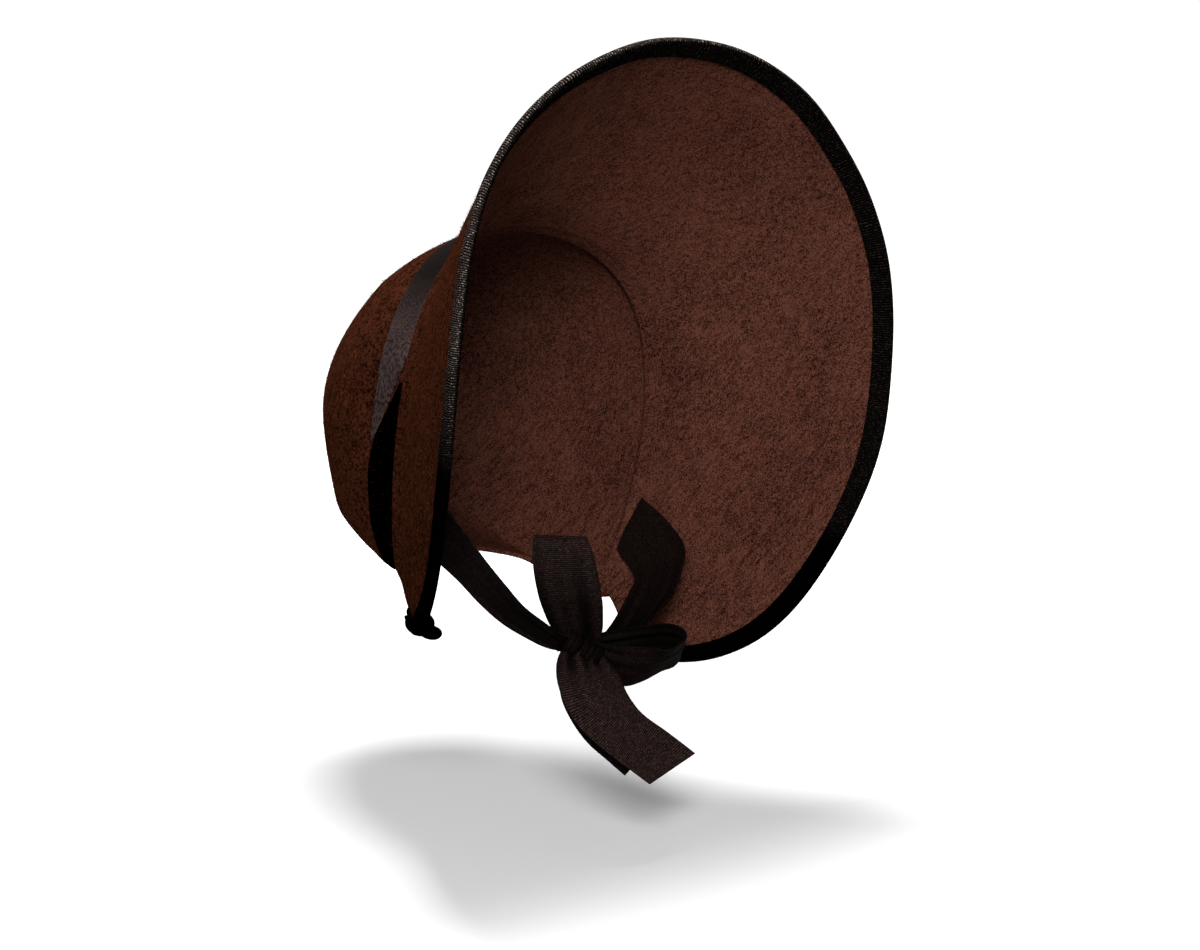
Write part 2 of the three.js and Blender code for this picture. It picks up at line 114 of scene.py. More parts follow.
turn = Matrix((picture_right, picture_up, lens_side)).transposed()
bpy.ops.object.camera_add(location=CAMERA_AIM + lens_side * CAMERA_DISTANCE)
camera = bpy.context.object
camera.rotation_euler = turn.to_euler()
camera.data.lens = LENS_MM
camera.data.sensor_width = SENSOR_MM
scene.camera = camera
print("camera", CAMERA_DISTANCE, "m from its aim, lens", LENS_MM, "mm")

# %% [markdown]
# ## Short ways to add nodes
# A material is a tree of nodes joined by links, and a value or another node's socket can feed
# each input. These helpers add one node each and join it up, so that a finish below reads
# like a sum.


# %% Node helpers
def srgb(red, green, blue):
    """A screen colour, 0 to 255, as the linear colour that a shader takes."""
    shares = [channel / 255 for channel in (red, green, blue)]
    return (*[s / 12.92 if s <= 0.04045 else ((s + 0.055) / 1.055) ** 2.4 for s in shares], 1)


def set_inputs(tree, node, inputs):
    """Sets each of the node's inputs to a value, or joins it to a socket."""
    for place, value in inputs.items():
        if isinstance(value, bpy.types.NodeSocket):
            tree.links.new(value, node.inputs[place])
        else:
            node.inputs[place].default_value = value


def add_node(tree, kind, inputs=None, **settings):
    node = tree.nodes.new(kind)
    for key, value in settings.items():
        setattr(node, key, value)
    set_inputs(tree, node, inputs or {})
    return node


def new_group(name, inputs, outputs):
    group = bpy.data.node_groups.new(name, "ShaderNodeTree")
    for title, kind, value in inputs:
        socket = group.interface.new_socket(title, in_out="INPUT", socket_type=kind)
        if value is not None:
            socket.default_value = value
    for title, kind in outputs:
        group.interface.new_socket(title, in_out="OUTPUT", socket_type=kind)
    return group, group.nodes.new("NodeGroupInput").outputs, group.nodes.new("NodeGroupOutput").inputs


def mix_colour(tree, share, low, high):
    """A mix of two colours, whose sockets are the Mix node's inputs 6 and 7."""
    return add_node(tree, "ShaderNodeMix", {0: share, 6: low, 7: high}, data_type="RGBA").outputs[2]


def maths(tree, operation, first, second=0.0):
    return add_node(tree, "ShaderNodeMath", {0: first, 1: second}, operation=operation).outputs[0]


def weighted(tree, *shares):
    """The sum of several patterns, each times its share."""
    total = 0.0
    for pattern, share in shares:
        total = maths(tree, "ADD", maths(tree, "MULTIPLY", pattern, share), total)
    return total


def noise(tree, vector, scale, detail=2.0, roughness=0.5):
    inputs = {"Vector": vector, "Scale": scale, "Detail": detail, "Roughness": roughness}
    return add_node(tree, "ShaderNodeTexNoise", inputs).outputs["Fac"]


def remap(tree, value, low, high, to_low=0.0, to_high=1.0, **settings):
    inputs = {"Value": value, "From Min": low, "From Max": high, "To Min": to_low, "To Max": to_high}
    return add_node(tree, "ShaderNodeMapRange", inputs, **settings).outputs["Result"]


# %% [markdown]
# ## Floor and light
# The bonnet is lit as in a small studio: a soft light beside the camera, a weaker one from
# above that draws the shadow on the floor, and a dim white room for the rest. The picture's
# ground is level, so floor and top light follow the picture's upright and not the bonnet's.
# The floor glows for the camera alone, more so further out, and melts into the white room.
# To everything else it is a dull grey, so that it throws little light up under the brim.

# %% Floor
FLOOR_DROP = 0.042
FLOOR_LEAN = math.radians(11)
FLOOR_SIZE = 12
floor_up = picture_up * math.cos(FLOOR_LEAN) + lens_side * math.sin(FLOOR_LEAN)


def lowest_point(node):
    return min((vertex.co for vertex in nodes[node].data.vertices), key=floor_up.dot)


foot = min((lowest_point(node) for node in nodes), key=floor_up.dot)
middle = sum((Vector(corner) for corner in cad_box), Vector()) / 2
floor_centre = middle + floor_up * ((foot - middle).dot(floor_up) - FLOOR_DROP)
bpy.ops.mesh.primitive_plane_add(size=FLOOR_SIZE, location=floor_centre)
floor = bpy.context.object
floor.name = "floor"
floor.rotation_euler = floor_up.to_track_quat("Z", "Y").to_euler()
print("floor", round(FLOOR_DROP / MM), "mm under the bonnet's lowest point")

# %% The floor's paint
NEAR_GLOW = 0.2
GLOW_START = 0.25
GLOW_END = 0.62
SEEN_GREY = 0.9
BOUNCE_GREY = 0.25
WHITE = (1, 1, 1, 1)

floor_paint = bpy.data.materials.new("pale_floor")
floor_paint.use_nodes = True
paint = floor_paint.node_tree
on_floor = add_node(paint, "ShaderNodeTexCoord").outputs["Object"]
reach = add_node(paint, "ShaderNodeVectorMath", {0: on_floor}, operation="LENGTH").outputs["Value"]
glow = remap(paint, reach, GLOW_START, GLOW_END, NEAR_GLOW, interpolation_type="SMOOTHSTEP")
seen_by_camera = add_node(paint, "ShaderNodeLightPath").outputs["Is Camera Ray"]
set_inputs(paint, paint.nodes["Principled BSDF"], {
    "Base Color": remap(paint, seen_by_camera, 0, 1, BOUNCE_GREY, SEEN_GREY),
    "Roughness": 0.9,
    "Specular IOR Level": 0,
    "Emission Color": WHITE,
    "Emission Strength": maths(paint, "MULTIPLY", glow, seen_by_camera),
})
floor.data.materials.append(floor_paint)

# %% Lights
LIGHT_DISTANCE = 2.2
KEY_SIDE = side_at(math.radians(-42), math.radians(15))
KEY_SIZE = 0.6
KEY_WATTS = 35
TOP_SHIFT = picture_right * -0.02 + lens_side * -0.32
TOP_SIZE = 0.62
TOP_WATTS = 47


def soft_light(name, place, size, watts):
    bpy.ops.object.light_add(type="AREA", location=place)
    light = bpy.context.object
    light.name = name
    light.data.size = size
    light.data.energy = watts
    light.rotation_euler = (place - middle).to_track_quat("Z", "Y").to_euler()
    print(name, size, "m wide,", watts, "W")


soft_light("key_light", middle + KEY_SIDE * LIGHT_DISTANCE, KEY_SIZE, KEY_WATTS)
soft_light("top_light", middle + floor_up * LIGHT_DISTANCE + TOP_SHIFT, TOP_SIZE, TOP_WATTS)

# %% The white room
SURROUND = 0.105
SEEN_WHITE = 1.05
world = bpy.data.worlds.new("white_room")
world.use_nodes = True
scene.world = world
room = world.node_tree
lit = room.nodes["Background"]
set_inputs(room, lit, {"Color": WHITE, "Strength": SURROUND})
seen = add_node(room, "ShaderNodeBackground", {"Color": WHITE, "Strength": SEEN_WHITE})
path = add_node(room, "ShaderNodeLightPath")
either = add_node(room, "ShaderNodeMixShader", {
    "Fac": path.outputs["Is Camera Ray"],
    1: lit.outputs["Background"],
    2: seen.outputs["Background"],
})
room.links.new(either.outputs["Shader"], room.nodes["World Output"].inputs["Surface"])

# %% [markdown]
# ## Felt nap
# Felt is matted wool. Its fibres lie every way, with dark gaps between them, and brushing
# draws the top ones along one line. So the colour goes from deep to pile by a weighted sum
# of plain noise, from single grains up to cloudy patches, with one noise that is stretched
# along the brushing. A few stray fibres of a brighter colour lie over it. All felt here
# shares this node group, and each felt gives it its own three colours.

# %% The nap's node group
COLOUR, VALUE, VECTOR = "NodeSocketColor", "NodeSocketFloat", "NodeSocketVector"
# Each noise pattern's scale, in waves a metre, with its detail and its roughness
GRAIN = (900, 2, 0.6)
CLUMPS = (430, 3, 0.7)
PATCHES = (60, 3, 0.6)
CLOUDS = (14, 2, 0.5)
COMBED = (300, 3, 0.7)
STRAY = (620, 3, 0.8)
COMB_TURN = (0, -0.974, -0.684)
COMB_STRETCH = (5, 1, 1)
# Where the patterns' sum turns from the low colour to the high one
NAP_LIMITS = (0.485, 0.655)
STRAY_LIMITS = (0.6, 0.72)
STRAY_SHARE = 0.6

felt_nap, given, made = new_group(
    "felt nap",
    [("Vector", VECTOR, None), ("Deep", COLOUR, None), ("Pile", COLOUR, None), ("Fibre", COLOUR, None)],
    [("Color", COLOUR), ("Height", VALUE)],
)
grain, clumps, patches, clouds = (
    noise(felt_nap, given["Vector"], *pattern) for pattern in (GRAIN, CLUMPS, PATCHES, CLOUDS)
)
combing = add_node(
    felt_nap, "ShaderNodeMapping",
    {"Vector": given["Vector"], "Rotation": COMB_TURN, "Scale": COMB_STRETCH},
    vector_type="TEXTURE",
).outputs["Vector"]
combed = noise(felt_nap, combing, *COMBED)
speckle = weighted(felt_nap, (grain, 0.55), (clumps, 0.22), (combed, 0.23))
depth = weighted(felt_nap, (speckle, 1), (patches, 0.05), (clouds, 0.09))
nap = mix_colour(felt_nap, remap(felt_nap, depth, *NAP_LIMITS), given["Deep"], given["Pile"])
stray = remap(felt_nap, noise(felt_nap, combing, *STRAY), *STRAY_LIMITS)
stray_share = maths(felt_nap, "MULTIPLY", stray, STRAY_SHARE)
felt_nap.links.new(mix_colour(felt_nap, stray_share, nap, given["Fibre"]), made["Color"])
felt_nap.links.new(weighted(felt_nap, (speckle, 1), (patches, 0.4)), made["Height"])
print(felt_nap.name, len(felt_nap.nodes), "nodes")

# %% [markdown]
# ## Cross ribs
# The binding and the bow's ribbon have fine ribs from edge to edge. A sine wave along the
# strip makes them: it gives a light crest and a dark groove, and the same wave is the height
# for a bump. The strip's own map, in metres, says how far along each point lies.

# %% The ribs' node group
CREST_LIMITS = (-0.8, 1)
cross_ribs, given, made = new_group(
    "cross ribs",
    [
        ("Along", VALUE, 0), ("Pitch", VALUE, 0.0012), ("Wander", VALUE, 0),
        ("Groove", COLOUR, None), ("Crest", COLOUR, None),
    ],
    [("Color", COLOUR), ("Height", VALUE)],
)
straight_turns = maths(cross_ribs, "DIVIDE", given["Along"], given["Pitch"])
turns = maths(cross_ribs, "ADD", straight_turns, given["Wander"])
wave = maths(cross_ribs, "SINE", maths(cross_ribs, "MULTIPLY", turns, math.tau))
crest = remap(cross_ribs, wave, *CREST_LIMITS)
cross_ribs.links.new(mix_colour(cross_ribs, crest, given["Groove"], given["Crest"]), made["Color"])
cross_ribs.links.new(crest, made["Height"])
print(cross_ribs.name, len(cross_ribs.nodes), "nodes")


# %% [markdown]
# ## Cloth materials
# Every cloth starts from the same rough shader, and a bump lifts its threads. Felt takes the
# nap and a little sheen. A ribbed cloth takes the ribs, hides part of them under flecks, and
# gets painted glints, light specks on single rib crests. Its mesh also carries a colour named
# gather, which holds painted shade: it darkens deep folds, shaded pieces and the binding's
# inner side towards the groove's dark colour.

# %% Felt
FELT_SHEEN = {"Sheen Weight": 0.03, "Sheen Roughness": 0.5, "Sheen Tint": srgb(200, 110, 60)}
NAP_HEIGHT = 0.4 * MM


def cloth_material(name, roughness, specular):
    material = bpy.data.materials.new(name)
    material.use_nodes = True
    tree = material.node_tree
    shader = tree.nodes["Principled BSDF"]
    set_inputs(tree, shader, {"Roughness": roughness, "Specular IOR Level": specular})
    return material, tree, shader


def raise_surface(tree, shader, height, distance, strength=1.0):
    bump = add_node(tree, "ShaderNodeBump", {"Height": height, "Distance": distance, "Strength": strength})
    tree.links.new(bump.outputs["Normal"], shader.inputs["Normal"])


def felt_material(name, deep, pile, fibre, size=(1, 1, 1)):
    """size: how large the nap's pattern lies, in x, y and z."""
    material, tree, shader = cloth_material(name, roughness=0.95, specular=0)
    set_inputs(tree, shader, FELT_SHEEN)
    where = add_node(tree, "ShaderNodeTexCoord").outputs["Object"]
    sized = add_node(tree, "ShaderNodeMapping", {"Vector": where, "Scale": size}, vector_type="TEXTURE")
    inputs = {"Vector": sized.outputs["Vector"], "Deep": deep, "Pile": pile, "Fibre": fibre}
    matted = add_node(tree, "ShaderNodeGroup", inputs, node_tree=felt_nap)
    tree.links.new(matted.outputs["Color"], shader.inputs["Base Color"])
    raise_surface(tree, shader, matted.outputs["Height"], NAP_HEIGHT, 0.5)
    return material


# The outer felt was brushed from front to back
OUTER_NAP = (1.25, 2.6, 1.25)
INNER_NAP = (0.68, 0.68, 0.68)
outer_felt = felt_material("outer_felt", srgb(4, 2, 1), srgb(80, 41, 28), srgb(140, 74, 40), OUTER_NAP)
inner_felt = felt_material("inner_felt", srgb(30, 14, 10), srgb(114, 69, 56), srgb(132, 76, 58), INNER_NAP)
hair_felt = felt_material("hair_felt", srgb(6, 3, 2), srgb(88, 46, 31), srgb(150, 80, 44), OUTER_NAP)
cut_felt = felt_material("cut_felt", srgb(50, 20, 11), srgb(116, 50, 29), srgb(150, 70, 38))
print("felt", [felt.name for felt in (outer_felt, inner_felt, hair_felt, cut_felt)])

# %% Ribbed cloth
WANDER = (60, 2)
WANDER_TURNS = 0.8
FLECKS = (620, 3, 0.7)
FLECK_LIMITS = (0.4, 0.66)
FLECK_LIFT = 0.4
DOTS = (1100, 2, 0.6)
DOT_LIMITS = (0.46, 0.62)
GLINT_LIMITS = (0.5, 0.85)
RIBBON_RIB = {"pitch": 1.05 * MM, "height": 0.12 * MM}
BINDING_RIB = {"pitch": 1.6 * MM, "height": 0.2 * MM}


def ribbed_material(name, groove, crest, painted_glint, pitch, height, roughness=0.6, specular=0.03, fuzz=0.5):
    """The colour after crest is painted on single rib crests as glints, a painted highlight. fuzz: how
    much the flecks hide the ribs.
    """
    material, tree, shader = cloth_material(name, roughness, specular)
    woven = add_node(tree, "ShaderNodeUVMap", uv_map="weave")
    parts = add_node(tree, "ShaderNodeSeparateXYZ", {"Vector": woven.outputs["UV"]})
    where = add_node(tree, "ShaderNodeTexCoord").outputs["Object"]
    wander = maths(tree, "MULTIPLY", noise(tree, where, *WANDER), WANDER_TURNS)
    measures = {"Along": parts.outputs["X"], "Pitch": pitch, "Wander": wander}
    colours = {"Groove": groove, "Crest": crest}
    ribs = add_node(tree, "ShaderNodeGroup", {**measures, **colours}, node_tree=cross_ribs)
    fleck = remap(tree, noise(tree, where, *FLECKS), *FLECK_LIMITS)
    shade = mix_colour(tree, fuzz, ribs.outputs["Color"], mix_colour(tree, fleck, groove, crest))
    # Painted highlight: light specks where dots meet the rib crests, mixed into the colour as glints
    dots = remap(tree, noise(tree, where, *DOTS), *DOT_LIMITS)
    glint = remap(tree, maths(tree, "MULTIPLY", ribs.outputs["Height"], dots), *GLINT_LIMITS)
    # Painted shade: the gather colour darkens folds, shaded pieces and the binding's inner side towards
    # the groove colour
    gather = add_node(tree, "ShaderNodeVertexColor", layer_name="gather").outputs["Color"]
    with_painted_glints = mix_colour(tree, glint, shade, painted_glint)
    tree.links.new(mix_colour(tree, gather, with_painted_glints, groove), shader.inputs["Base Color"])
    lift = maths(tree, "ADD", ribs.outputs["Height"], maths(tree, "MULTIPLY", fleck, FLECK_LIFT))
    raise_surface(tree, shader, lift, height)
    return material


binding_cloth = ribbed_material(
    "binding_cloth", srgb(2, 1, 1), srgb(64, 56, 52), srgb(170, 158, 146),
    **BINDING_RIB, specular=0, fuzz=0.25,
)
# Painted shade: the tabs get a near-black copy of the ribbon's cloth, for the ribbon's twist in deep shade
shade_painted_tab_cloth = ribbed_material(
    "shade_painted_tab_cloth", srgb(0, 0, 0), srgb(3, 2, 2), srgb(8, 6, 6),
    **RIBBON_RIB, roughness=1, specular=0,
)
bow_cloth = ribbed_material("bow_cloth", srgb(3, 1, 1), srgb(65, 49, 46), srgb(96, 78, 73), **RIBBON_RIB)
print("ribbed", [cloth.name for cloth in (binding_cloth, shade_painted_tab_cloth, bow_cloth)])

# %% [markdown]
# ## Satin
# The hatband is worn satin: fine threads both ways, a little shine, and no ribs. A noise
# that is squeezed along the band makes the threads. Towards the top of the arch, where the
# band dips behind the brim, the height mixes in a dark colour as painted shade.

# %% Satin cloth
THREADS_A_METRE = (400, 480, 1)
THREADS = (1, 2, 0.6)
THREAD_LIMITS = (0.42, 0.59)
THREAD_HEIGHT = 0.05 * MM
WORN = (40, 2)
PAINTED_SHADE_HEIGHTS = (-0.07, -0.038)


def satin_material(name, shade_colour, light_colour, painted_shade_colour):
    material, tree, shader = cloth_material(name, roughness=0.5, specular=0.12)
    woven = add_node(tree, "ShaderNodeUVMap", uv_map="weave").outputs["UV"]
    drawn = add_node(tree, "ShaderNodeMapping", {"Vector": woven, "Scale": THREADS_A_METRE})
    threads = noise(tree, drawn.outputs["Vector"], *THREADS)
    where = add_node(tree, "ShaderNodeTexCoord").outputs["Object"]
    mixed = weighted(tree, (threads, 0.8), (noise(tree, where, *WORN), 0.2))
    shade = mix_colour(tree, remap(tree, mixed, *THREAD_LIMITS), shade_colour, light_colour)
    # Painted shade: the band is darkened towards the top of the arch, by its height
    height = add_node(tree, "ShaderNodeSeparateXYZ", {"Vector": where}).outputs["Z"]
    painted_shade_share = remap(tree, height, *PAINTED_SHADE_HEIGHTS)
    tree.links.new(mix_colour(tree, painted_shade_share, shade, painted_shade_colour), shader.inputs["Base Color"])
    raise_surface(tree, shader, threads, THREAD_HEIGHT)
    return material


satin_cloth = satin_material("satin_cloth", srgb(32, 22, 20), srgb(82, 66, 64), srgb(18, 11, 8))
print("satin", satin_cloth.name)

# %% [markdown]
# ## Starting from the frame's bodies
# The frame's bodies have flat facets. A copy is merged, its triangles are turned back into
# quads, and a subdivision surface rounds it. Edges of the cut felt get a crease, so that
# the wall keeps its thickness.

# %% Copies of the frame's bodies
MERGE_WITHIN = 0.02 * MM
QUAD_BEND = math.radians(70)
QUAD_SKEW = math.radians(80)


def deselect():
    bpy.ops.object.select_all(action="DESELECT")


def take(piece):
    deselect()
    piece.select_set(True)
    bpy.context.view_layer.objects.active = piece


def copy_of(node, name):
    take(nodes[node])
    bpy.ops.object.duplicate()
    piece = bpy.context.object
    bpy.ops.object.parent_clear(type="CLEAR_KEEP_TRANSFORM")
    piece.name = name
    for key in list(piece.keys()):
        del piece[key]
    bpy.ops.mesh.customdata_custom_splitnormals_clear()
    bpy.ops.object.mode_set(mode="EDIT")
    bpy.ops.mesh.select_all(action="SELECT")
    bpy.ops.mesh.remove_doubles(threshold=MERGE_WITHIN)
    bpy.ops.mesh.tris_convert_to_quads(face_threshold=QUAD_BEND, shape_threshold=QUAD_SKEW)
    bpy.ops.object.mode_set(mode="OBJECT")
    piece.data.materials.clear()
    return piece


def crease_sharp_edges(piece, angle, amount):
    take(piece)
    bpy.ops.object.mode_set(mode="EDIT")
    bpy.ops.mesh.select_mode(type="EDGE")
    bpy.ops.mesh.select_all(action="DESELECT")
    bpy.ops.mesh.edges_select_sharp(sharpness=angle)
    bpy.ops.transform.edge_crease(value=amount)
    bpy.ops.object.mode_set(mode="OBJECT")


def apply_modifier(piece, kind, name, **settings):
    take(piece)
    modifier = piece.modifiers.new(name, kind)
    for key, value in settings.items():
        setattr(modifier, key, value)
    bpy.ops.object.modifier_apply(modifier=name)


def subdivide(piece, levels):
    apply_modifier(piece, "SUBSURF", "Rounding", levels=levels, render_levels=levels)
    bpy.ops.object.shade_smooth()


def join_onto(piece, others):
    take(piece)
    for other in others:
        other.select_set(True)
    bpy.ops.object.join()


def finish_piece(piece, node):
    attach(piece, "root")
    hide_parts(node)
    print(piece.name, len(piece.data.polygons), "faces")


# %% [markdown]
# ## Uneven felt
# Blocked felt is never a perfect form: it swells and sinks by a millimetre or so over a
# hand's width. The same slow noise moves every piece of the hat, so that pieces that lie
# on each other stay together.

# %% The slow unevenness
UNEVEN_SIZE = 0.09
UNEVEN_DEPTH = 2.4 * MM
swell = bpy.data.textures.new("swell", "CLOUDS")
swell.cloud_type = "COLOR"
swell.noise_scale = UNEVEN_SIZE
swell.noise_depth = 1


def make_uneven(piece):
    apply_modifier(
        piece, "DISPLACE", "Swell", texture=swell, texture_coords="LOCAL",
        direction="RGB_TO_XYZ", strength=UNEVEN_DEPTH, mid_level=0.5,
    )


# %% [markdown]
# ## Stray fibres
# Wool felt is never clean along its outline: single hairs stand off it. Each hair here is a
# thin three-sided spike that bends over once. They are spread evenly over the outer felt by
# a seeded draw, and each is a body of its own in the felt's mesh.

# %% One hair
HAIR_SPACING = 2.6 * MM
HAIR_LENGTH = 2.4 * MM
HAIR_RADIUS = 0.05 * MM
LENGTH_SHARES = (0.3, 1)
RADIUS_SHARES = (0.6, 1.2)
# How much of a hair's length each half goes up from the felt, and out along it
LOWER_UP, LOWER_OUT = 0.55, 0.3
UPPER_UP, UPPER_OUT = 0.2, 0.5
KNEE_TAPER = 0.7
POINTS_A_HAIR = 7


def hair_points(root, normal, draw):
    """A ring of three points just under the felt, a thinner ring at the knee, and the tip."""
    lean = np.cross(normal, draw.normal(size=3))
    across = np.cross(normal, lean)
    length = HAIR_LENGTH * draw.uniform(*LENGTH_SHARES)
    radius = HAIR_RADIUS * draw.uniform(*RADIUS_SHARES)
    knee = root + length * (LOWER_UP * normal + LOWER_OUT * lean)
    tip = knee + length * (UPPER_UP * normal + UPPER_OUT * lean)
    ring = [radius * (math.cos(a) * lean + math.sin(a) * across) for a in np.radians((0, 120, 240))]
    foot_ring = [root - radius * normal + offset for offset in ring]
    return [*foot_ring, *(knee + KNEE_TAPER * offset for offset in ring), tip]


def hair_sides(first):
    """A hair's faces, where first is its first point's number."""
    sides = [(first + 2, first + 1, first)]
    for i in range(3):
        j = (i + 1) % 3
        sides.append((first + i, first + j, first + 3 + j, first + 3 + i))
        sides.append((first + 3 + i, first + 3 + j, first + 6))
    return sides


# %% Hair over the outer felt
HAIR_SLOT = 3


def add_hair(piece, seed):
    draw = np.random.default_rng(seed)
    mesh = piece.data
    faces = [face for face in mesh.polygons if face.material_index == 0]
    areas = np.array([face.area for face in faces])
    chosen = draw.choice(len(faces), int(areas.sum() / HAIR_SPACING ** 2), p=areas / areas.sum())
    points, sides = [], []
    for face in (faces[i] for i in chosen):
        corners = [np.array(mesh.vertices[i].co) for i in face.vertices]
        weights = draw.dirichlet(np.ones(len(corners)))
        root = sum(weight * corner for weight, corner in zip(weights, corners))
        sides += hair_sides(len(points))
        points += hair_points(root, np.array(face.normal), draw)
    hair_mesh = bpy.data.meshes.new(f"{piece.name}_hair")
    hair_mesh.from_pydata([tuple(point) for point in points], [], sides)
    hair = bpy.data.objects.new(hair_mesh.name, hair_mesh)
    bpy.context.collection.objects.link(hair)
    mesh.materials.append(hair_felt)
    for material in mesh.materials:
        hair_mesh.materials.append(material)
    for face in hair_mesh.polygons:
        face.material_index = HAIR_SLOT
    join_onto(piece, [hair])
    print(piece.name, len(points) // POINTS_A_HAIR, "hairs")


# %% [markdown]
# ## Round the seam
# On the real bonnet the brim's foot swells out over the crown's front edge, and the band
# and the tabs are pushed up against it. The crown itself fills out in its upper and its lower
# half. Each of these is a soft push whose weight fades with distance, so that no step shows.

# %% How far behind the seam
CROWN_POLE_HEIGHT = -107 * MM
RIM_SECTORS = 30

rim_points = np.array([vertex.co for vertex in nodes["crown"].data.vertices])
rim_angle = np.arctan2(rim_points[:, 0], rim_points[:, 2] - CROWN_POLE_HEIGHT)
sector = np.round(rim_angle / math.tau * RIM_SECTORS).astype(int)
foremost = []
for number in np.unique(sector):
    inside = np.flatnonzero(sector == number)
    foremost.append(inside[rim_points[inside, 1].argmin()])
print("seam measured at", len(foremost), "points of the crown's front edge")


def behind_seam(point):
    """How far a point lies behind the crown's front edge, straight back."""
    angle = math.atan2(point.x, point.z - CROWN_POLE_HEIGHT)
    return point.y - np.interp(angle, rim_angle[foremost], rim_points[foremost, 1])


# %% Soft pushes
SWELL_MIDDLE = -3 * MM
SWELL_REACH = 9 * MM
SWELL_OUT = 2.6 * MM
SWELL_BACK = Vector((0, 2 * MM, 0))
FILL_BY = 60 * MM
FILL_START = 0.4
FILL_UP = 3.5 * MM
FILL_DOWN = 6 * MM
BAND_END_TOP = -84 * MM
BAND_END_LENGTH = 34 * MM
BAND_TUCK = 0.2 * MM
BAND_FORWARD = 2 * MM
BAND_DOWN = 8 * MM
STRIP_PULL = 4.2 * MM


def swell_foot(piece):
    for vertex in piece.data.vertices:
        weight = math.exp(-((behind_seam(vertex.co) - SWELL_MIDDLE) / SWELL_REACH) ** 2)
        outward = Vector((vertex.co.x, 0, vertex.co.z - CROWN_POLE_HEIGHT)).normalized()
        vertex.co += weight * (outward * SWELL_OUT + SWELL_BACK)


def fill_out(piece):
    for vertex in piece.data.vertices:
        rise = vertex.co.z - CROWN_POLE_HEIGHT
        depth_weight = min(max(behind_seam(vertex.co) / FILL_BY - FILL_START, 0), 1)
        weight = min(abs(rise) / FILL_BY, 1) ** 2 * depth_weight
        outward = Vector((vertex.co.x, 0, rise)).normalized()
        vertex.co += outward * weight * (FILL_UP if rise > 0 else FILL_DOWN)


def run_under_tabs(piece):
    """Takes the band's two ends on, down and under the tabs."""
    for vertex in piece.data.vertices:
        share = min(max((BAND_END_TOP - vertex.co.z) / BAND_END_LENGTH, 0), 1)
        away = math.copysign(1, vertex.co.x)
        vertex.co += share * Vector((-away * BAND_TUCK, -BAND_FORWARD, -BAND_DOWN))


def pull_forward(piece):
    for vertex in piece.data.vertices:
        vertex.co.y -= STRIP_PULL


# %% [markdown]
# ## Crown and brim
# Crown and brim are blocked from thick felt, smooth and dark outside, lighter and redder
# inside, with a bright cut edge. One mesh can carry all of these: each face is given its
# felt by the way it looks and by how narrow it is, and the hair grows only on the outer felt.

# %% Inside and cut edges
CUT_EDGE_WIDTH = 3 * MM
CUT_EDGE_TOP = -0.196
FORE_AFT_SHARE = 0.3
FELT_SHARP = math.radians(50)
FELT_CREASE = 0.6
CROWN_HEART = (0, 0, -0.1)
ARCH_HEART = (0, 0, -0.06)


def paint_felt(piece, heart):
    """Outer felt, inner felt where a face looks at the heart, and cut felt on the narrow edges."""
    for material in (outer_felt, inner_felt, cut_felt):
        piece.data.materials.append(material)
    mesh = piece.data
    for face in mesh.polygons:
        corners = [mesh.vertices[i].co for i in face.vertices]
        shortest = min((corners[i] - corners[i - 1]).length for i in range(len(corners)))
        away = face.center - Vector(heart)
        away.y *= FORE_AFT_SHARE
        if shortest < CUT_EDGE_WIDTH and face.center.z < CUT_EDGE_TOP:
            face.material_index = 2
        elif face.normal.dot(away) < 0:
            face.material_index = 1


def felt_body(node, name, heart, push, seed):
    felt = copy_of(node, name)
    paint_felt(felt, heart)
    crease_sharp_edges(felt, FELT_SHARP, FELT_CREASE)
    subdivide(felt, 2)
    push(felt)
    make_uneven(felt)
    add_hair(felt, seed)
    finish_piece(felt, node)


# %% Crown
felt_body("crown", "crown_felt", CROWN_HEART, fill_out, seed=11)

# %% Brim
felt_body("brim", "brim_felt", ARCH_HEART, swell_foot, seed=12)


# %% [markdown]
# ## Trimmings with a weave
# The ribs of a woven strip follow the strip and not the room. So each strip gets a map that
# says, in metres, how far along it and how far across it every point is. Round the bonnet's
# arch that distance is measured by the angle about the middle of the opening.

# %% A weave map round the arch
ARCH_BINS = 240


def distance_along(line):
    """How far along a line of points each point lies, from its start."""
    return np.concatenate([[0], np.cumsum(np.linalg.norm(np.diff(line, axis=0), axis=1))])


def write_weave(mesh, weave):
    """Stores each vertex's place along and across its strip, in metres, as the map named weave."""
    layer = mesh.uv_layers.new(name="weave")
    for loop in mesh.loops:
        layer.data[loop.index].uv = weave[loop.vertex_index]


def weave_round_arch(piece):
    points = np.array([vertex.co for vertex in piece.data.vertices])
    angle = np.arctan2(points[:, 0] - ARCH_HEART[0], points[:, 2] - ARCH_HEART[2])
    edges = np.linspace(-math.pi, math.pi, ARCH_BINS + 1)
    bin_middles = 0.5 * (edges[1:] + edges[:-1])
    which = np.digitize(angle, edges) - 1
    filled = [number for number in range(ARCH_BINS) if np.any(which == number)]
    line = np.array([points[which == number].mean(0) for number in filled])
    along = np.interp(angle, bin_middles[filled], distance_along(line))
    write_weave(piece.data, np.column_stack((along, points[:, 1])))


def new_painted_shade(mesh):
    """A colour for each vertex, named gather, that holds painted shade for folds and shaded sides. It
    starts at none.
    """
    return mesh.color_attributes.new("gather", "FLOAT_COLOR", "POINT").data


# %% Strips round the arch
STRIP_SHARP = math.radians(60)
STRIP_CREASE = 0.4


